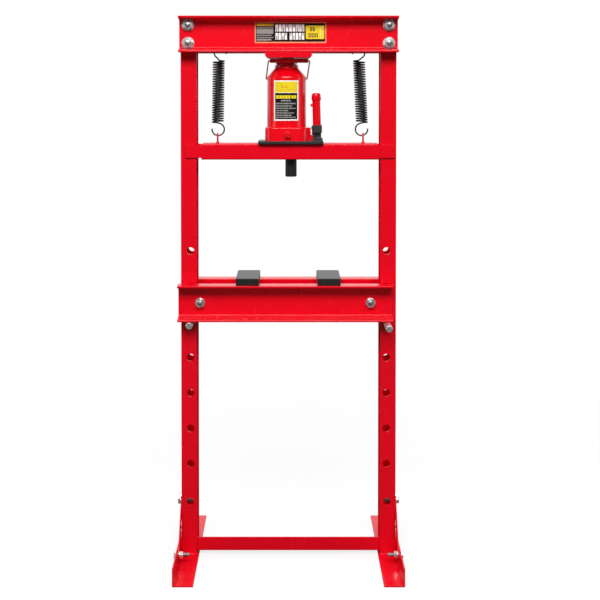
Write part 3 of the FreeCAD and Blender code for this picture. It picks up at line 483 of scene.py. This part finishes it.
def jack_label_print():
    lo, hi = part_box("jack_label")
    z0, z1 = lo.z / MM, hi.z / MM
    Ht = z1 - z0
    A0, A1 = -40.0, 37.5            # degrees each side of the front
    mats = [P_CREAM, P_BLACK, P_YELLOW, P_AMBER, P_GREY, P_WHITE]
    v, f, fm = [], [], []

    def R(u0, u1, w0, w1, mi, layer):
        ra, rb = JR + 0.25, JR + 0.3 + 0.05 * layer
        a0, a1 = A0 + (A1 - A0) * u0, A0 + (A1 - A0) * u1
        n = max(2, int(abs(a1 - a0) / 2.5))
        b = len(v)
        for r in (ra, rb):
            for z in (z1 - w1 * Ht, z1 - w0 * Ht):
                for k in range(n + 1):
                    a = math.radians(a0 + (a1 - a0) * k / n)
                    v.append(((JX + r * math.sin(a)) * MM, -r * math.cos(a) * MM, z * MM))
        m = n + 1
        A, B, C, D = b, b + m, b + 2 * m, b + 3 * m      # inner low, inner high, outer low, outer high
        for k in range(n):
            f.append((C + k, C + k + 1, D + k + 1, D + k)); fm.append(mi)
            f.append((A + k + 1, A + k, B + k, B + k + 1)); fm.append(mi)
            f.append((A + k, A + k + 1, C + k + 1, C + k)); fm.append(mi)
            f.append((B + k + 1, B + k, D + k, D + k + 1)); fm.append(mi)
        f.append((A, C, D, B)); fm.append(mi)
        f.append((A + n, B + n, D + n, C + n)); fm.append(mi)

    R(0.004, 0.996, 0.003, 0.997, 0, 1)
    R(0.060, 0.940, 0.035, 0.300, 2, 2)
    R(0.060, 0.940, 0.312, 0.960, 1, 2)
    # faint plain marks on the yellow
    R(0.30, 0.42, 0.13, 0.19, 3, 3)
    R(0.45, 0.57, 0.13, 0.19, 3, 3)
    R(0.20, 0.80, 0.225, 0.240, 3, 3)
    # yellow row of blocks
    for u0, u1 in ((0.10, 0.22), (0.235, 0.33), (0.345, 0.44), (0.455, 0.56), (0.575, 0.66), (0.70, 0.79), (0.805, 0.90)):
        R(u0, u1, 0.370, 0.452, 2, 3)
    # grey rows
    for w, h, u0, u1 in ((0.482, 0.036, 0.30, 0.68), (0.555, 0.034, 0.09, 0.88), (0.618, 0.030, 0.09, 0.76), (0.676, 0.030, 0.09, 0.88),
                         (0.734, 0.028, 0.09, 0.58), (0.790, 0.028, 0.09, 0.80), (0.846, 0.028, 0.09, 0.70), (0.898, 0.026, 0.09, 0.88)):
        u = u0
        k = 0
        while u < u1 - 0.02:
            wd = (0.16, 0.10, 0.21, 0.13, 0.08)[k % 5]
            R(u, min(u + wd, u1), w, w + h, 4, 3)
            u += wd + 0.014
            k += 1
    return new_object("jack_label_print", v, f, mats, "press_beam", fm, smooth=False)


jack_label_print()


# ------------------------------------------------------------------ weld beads
def weld(name, a, b, r, body, out=(0, 0, 1), pitch=2.4):
    """Bead from a to b (mm) half sunk in the joint, with the ripple of a hand weld."""
    a, b = Vector(a), Vector(b)
    L = (b - a).length
    n = max(8, int(L / (pitch / 4)))
    rng = random.Random(name)
    pts, rad = [], []
    out = Vector(out).normalized()
    ph = rng.random() * 6
    for i in range(n + 1):
        t = i / n
        s = t * L
        rip = 0.5 + 0.5 * math.cos(2 * math.pi * s / pitch + ph + 0.6 * math.sin(s / 7.0))
        w = 0.92 + 0.10 * rip + 0.05 * noise.noise(Vector((s * 0.21, ph, 0)))
        end = min(1.0, (min(s, L - s) + 0.6) / (r * 1.2))
        pts.append((a + (b - a) * t + out * (noise.noise(Vector((s * 0.12, 3 + ph, 0))) * 0.25)) * MM)
        rad.append(r * w * math.sqrt(max(end, 0.25)) * MM)
    v, f, _ = tube(pts, rad, 10)
    return new_object(name, v, f, [M["red_powder_coat"]], body)


for sx, sn in ((-1, "left"), (1, "right")):
    X = 301.0 * sx
    weld(sn + "_weld_foot_front", (X - sx * 3, -40.3, 4.1), (X - sx * 45, -40.3, 4.1), 2.1, "frame", (0, -1, 1))
    weld(sn + "_weld_foot_rear", (X - sx * 3, 40.3, 4.1), (X - sx * 45, 40.3, 4.1), 2.1, "frame", (0, 1, 1))
    weld(sn + "_weld_foot_side", (X + sx * 1.5, -38, 49.4), (X + sx * 1.5, 38, 49.4), 2.2, "frame", (0, 0, 1))
    weld(sn + "_weld_foot_edge_front", (X + sx * 1.5, -39.8, 6), (X + sx * 1.5, -39.8, 47), 2.0, "frame", (0, -1, 0))
    weld(sn + "_weld_foot_edge_rear", (X + sx * 1.5, 39.8, 6), (X + sx * 1.5, 39.8, 47), 2.0, "frame", (0, 1, 0))
    weld(sn + "_weld_crossbar", (sx * 257.3, -34.3, 14), (sx * 257.3, -34.3, 48), 1.5, "frame", (0, -1, 0))
    weld(sn + "_weld_crossbar_top", (sx * 259, -33.6, 50.2), (sx * 290, -33.6, 50.2), 1.5, "frame", (0, 0, 1))
    for sy, yn in ((-1, "front"), (1, "rear")):
        weld(sn + "_weld_thrust_" + yn, (sx * 64.7, sy * 50, 1414.6), (sx * 64.7, sy * 84, 1414.6), 2.0, "frame", (sx, 0, -1))
for sy, yn in ((-1, "front"), (1, "rear")):
    weld("weld_seat_plate_" + yn, (-60, sy * 45.6, 1160.4), (60, sy * 45.6, 1160.4), 0.9, "press_beam", (0, sy, 0))


def ring_weld(name, c, r, axis, wr, body):
    c = Vector(c)
    axis = Vector(axis).normalized()
    u = axis.orthogonal().normalized()
    w = axis.cross(u)
    n = int(2 * math.pi * r / 0.6)
    v, f = [], []
    S = 8
    rng = random.Random(name)
    ph = rng.random() * 6
    for i in range(n):
        a = 2 * math.pi * i / n
        s = a * r
        rr = wr * (0.92 + 0.12 * math.cos(round(2 * math.pi * r / 2.2) * a + ph)) + 0.06 * noise.noise(Vector((math.cos(a) * 3, math.sin(a) * 3, ph)))
        d = u * math.cos(a) + w * math.sin(a)
        for k in range(S):
            b = 2 * math.pi * k / S
            v.append((c + d * (r + rr * math.cos(b)) + axis * rr * math.sin(b)) * MM)
    for i in range(n):
        i2 = (i + 1) % n
        for k in range(S):
            k2 = (k + 1) % S
            f.append((i * S + k, i * S + k2, i2 * S + k2, i2 * S + k))
    return new_object(name, v, f, [M["red_powder_coat"]], body)


for x, sn in ((-192.3, "left"), (197.6, "right")):
    for sy, yn in ((-1, "front"), (1, "rear")):
        ring_weld("%s_weld_rod_%s" % (sn, yn), (x, sy * 39.6, 1425.5), 5.4, (0, 1, 0), 1.2, "frame")


# ------------------------------------------------------------------ thread ends
def thread(name, centre, axis, r, length, pitch, body):
    """Screw thread seen past a nut: a helical ridge on a core, chamfered at the end; axis points outwards."""
    c = Vector(centre)
    ax = Vector(axis).normalized()
    u = ax.orthogonal().normalized()
    w = ax.cross(u)
    S = 28
    steps = max(10, int(length / (pitch / 8)))
    v, f = [], []
    for i in range(steps + 1):
        z = length * i / steps
        for k in range(S):
            a = 2 * math.pi * k / S
            ph = (z / pitch - k / S) % 1.0
            tri = 1 - abs(2 * ph - 1)
            rr = r + 0.04 + (0.30 * tri)
            top = length - z
            if top < 1.0:
                rr = min(rr, r - 0.9 + 1.25 * top)
            v.append((c + (u * math.cos(a) + w * math.sin(a)) * rr + ax * z) * MM)
    for i in range(steps):
        for k in range(S):
            k2 = (k + 1) % S
            f.append((i * S + k, i * S + k2, (i + 1) * S + k2, (i + 1) * S + k))
    f.append(tuple(range(S - 1, -1, -1)))
    f.append(tuple(steps * S + k for k in range(S)))
    return new_object(name, v, f, [THREAD_PAINTED_SHADE], body, sharp=40)


i = 0
for sx in (-1, 1):
    for z in (1441.0, 1491.5):
        i += 1
        thread("head_thread_%d" % i, (sx * 279.5, -61.0, z), (0, -1, 0), 8.0, 4.9, 2.0, "frame")
for k, sx in enumerate((-1, 1)):
    thread("bed_thread_%d" % (k + 1), (-9.0 + sx * 238.0, -60.0, 716.62), (0, -1, 0), 7.0, 3.4, 2.0, "bed")
k = 0
for sx in (-1, 1):
    for sy in (-1, 1):
        k += 1
        thread("brace_thread_low_%d" % k, (sx * 290.8, sy * 115.0, 30.0), (-sx, 0, 0), 5.0, 17.4, 1.5, "frame")
        thread("brace_thread_top_%d" % k, (sx * 287.8, sy * 16.0, 149.0), (-sx, 0, 0), 5.0, 19.9, 1.5, "frame")
for sx in (-1, 1):
    thread("eye_thread_%s" % ("left" if sx < 0 else "right"), (5.15 + sx * 205.15, 0, 1142.2), (0, 0, -1), 4.0, 5.4, 1.25, "press_beam")


# ------------------------------------------------------------------ floor, light, camera
def make_floor():
    me = bpy.data.meshes.new("floor")
    R = 60.0
    n = 64
    vs = [(0, 0, 0)] + [(R * math.cos(2 * math.pi * k / n), R * math.sin(2 * math.pi * k / n), 0) for k in range(n)]
    fs = [(0, 1 + k, 1 + (k + 1) % n) for k in range(n)]
    me.from_pydata([(x, y, -0.0004) for x, y, z in vs], [], fs)
    o = bpy.data.objects.new("floor", me)
    coll.objects.link(o)
    m = Mat("floor_paper")
    nt = m.nt
    n1 = m.noise(1.7, 3.0)
    c = m.mix(n1, (0.90, 0.90, 0.90), (0.93, 0.93, 0.93))
    m.set(base=c, rough=0.9, spec=0.1, normal=m.bump(m.noise(90.0, 2.0), 0.02, 0.001))
    geo = nt.nodes.new("ShaderNodeNewGeometry")
    ln = nt.nodes.new("ShaderNodeVectorMath")
    ln.operation = "LENGTH"
    nt.links.new(geo.outputs["Position"], ln.inputs[0])
    fac = m.maprange(ln.outputs["Value"], 0.6, 2.2, 0.80, 1.0)
    em = nt.nodes.new("ShaderNodeEmission")
    em.inputs["Color"].default_value = (1, 1, 1, 1)
    em.inputs["Strength"].default_value = 1.0
    mx = nt.nodes.new("ShaderNodeMixShader")
    nt.links.new(fac, mx.inputs[0])
    nt.links.new(m.bsdf.outputs[0], mx.inputs[1])
    nt.links.new(em.outputs[0], mx.inputs[2])
    dim = nt.nodes.new("ShaderNodeBsdfDiffuse")
    dim.inputs["Color"].default_value = (0.11, 0.11, 0.11, 1)
    lp = nt.nodes.new("ShaderNodeLightPath")
    pick = nt.nodes.new("ShaderNodeMixShader")
    nt.links.new(lp.outputs["Is Camera Ray"], pick.inputs[0])
    nt.links.new(dim.outputs[0], pick.inputs[1])
    nt.links.new(mx.outputs[0], pick.inputs[2])
    nt.links.new(pick.outputs[0], m.out.inputs[0])
    me.materials.append(m.m)
    return o


make_floor()


def make_world():
    w = bpy.data.worlds.new("studio")
    scene.world = w
    w.use_nodes = True
    nt = w.node_tree
    nt.nodes.clear()
    out = nt.nodes.new("ShaderNodeOutputWorld")
    tc = nt.nodes.new("ShaderNodeTexCoord")
    sep = nt.nodes.new("ShaderNodeSeparateXYZ")
    nt.links.new(tc.outputs["Generated"], sep.inputs[0])

    def mr(v, a, b, c, d, smooth=True):
        n = nt.nodes.new("ShaderNodeMapRange")
        if smooth:
            n.interpolation_type = "SMOOTHSTEP"
        nt.links.new(v, n.inputs[0])
        for i, x in enumerate((a, b, c, d)):
            n.inputs[i + 1].default_value = x
        return n.outputs[0]

    def add(a, b):
        n = nt.nodes.new("ShaderNodeMath")
        n.operation = "ADD"
        for s, x in zip(n.inputs, (a, b)):
            if isinstance(x, float):
                s.default_value = x
            else:
                nt.links.new(x, s)
        return n.outputs[0]

    back = mr(sep.outputs["Y"], 0.0, 0.6, 0.0, 0.95)          # white sweep behind
    top = mr(sep.outputs["Z"], 0.35, 0.9, 0.0, 0.50)          # overhead box
    total = add(add(0.06, back), top)
    bg = nt.nodes.new("ShaderNodeBackground")
    bg.inputs["Color"].default_value = (1, 1, 1, 1)
    nt.links.new(total, bg.inputs["Strength"])
    cam_bg = nt.nodes.new("ShaderNodeBackground")
    cam_bg.inputs["Color"].default_value = (1, 1, 1, 1)
    cam_bg.inputs["Strength"].default_value = 1.0
    lp = nt.nodes.new("ShaderNodeLightPath")
    mx = nt.nodes.new("ShaderNodeMixShader")
    nt.links.new(lp.outputs["Is Camera Ray"], mx.inputs[0])
    nt.links.new(bg.outputs[0], mx.inputs[1])
    nt.links.new(cam_bg.outputs[0], mx.inputs[2])
    nt.links.new(mx.outputs[0], out.inputs[0])


make_world()


def area(name, loc, target, sx, sy, power, colour=(1, 1, 1)):
    ld = bpy.data.lights.new(name, "AREA")
    ld.shape = "RECTANGLE"
    ld.size, ld.size_y = sx, sy
    ld.energy = power
    ld.color = colour
    o = bpy.data.objects.new(name, ld)
    coll.objects.link(o)
    o.location = loc
    o.rotation_mode = "QUATERNION"
    o.rotation_quaternion = (Vector(target) - Vector(loc)).to_track_quat("-Z", "Y")
    o.visible_camera = False
    return o


area("front_top", (0, -3.8, 3.7), (0, 0, 0.65), 3.6, 1.6, 236)
area("side_left", (-3.2, -0.5, 1.1), (0, 0, 0.75), 1.2, 2.0, 12)
area("side_right", (3.2, -0.5, 1.1), (0, 0, 0.75), 1.2, 2.0, 10)
area("top_box", (0, 0.3, 3.4), (0, 0, 0.8), 2.4, 1.8, 8)

cam_data = bpy.data.cameras.new("camera")
cam = bpy.data.objects.new("camera", cam_data)
coll.objects.link(cam)
cam_data.sensor_width = 36.0
cam_data.lens = 75.55
cam.rotation_mode = "QUATERNION"
cam.location = (0.0, -3.5518, 1.3236)
pitch = 0.0277
cam.rotation_quaternion = Vector((0, math.cos(pitch), -math.sin(pitch))).to_track_quat("-Z", "Y")
cam_data.clip_start, cam_data.clip_end = 0.05, 200
scene.camera = cam
# a view camera's rise and shift, which apply only from this standpoint
for prop, value in (("shift_x", 0.0191), ("shift_y", -0.2998)):
    fc = cam_data.driver_add(prop)
    d = fc.driver
    d.type = "SCRIPTED"
    v = d.variables.new()
    v.name = "y"
    v.type = "TRANSFORMS"
    t = v.targets[0]
    t.id = cam
    t.transform_type = "LOC_Y"
    t.transform_space = "WORLD_SPACE"
    d.expression = "%.4f if abs(y + 3.5518) < 0.001 else 0" % value

scene.view_settings.view_transform = "Standard"
scene.view_settings.look = "None"
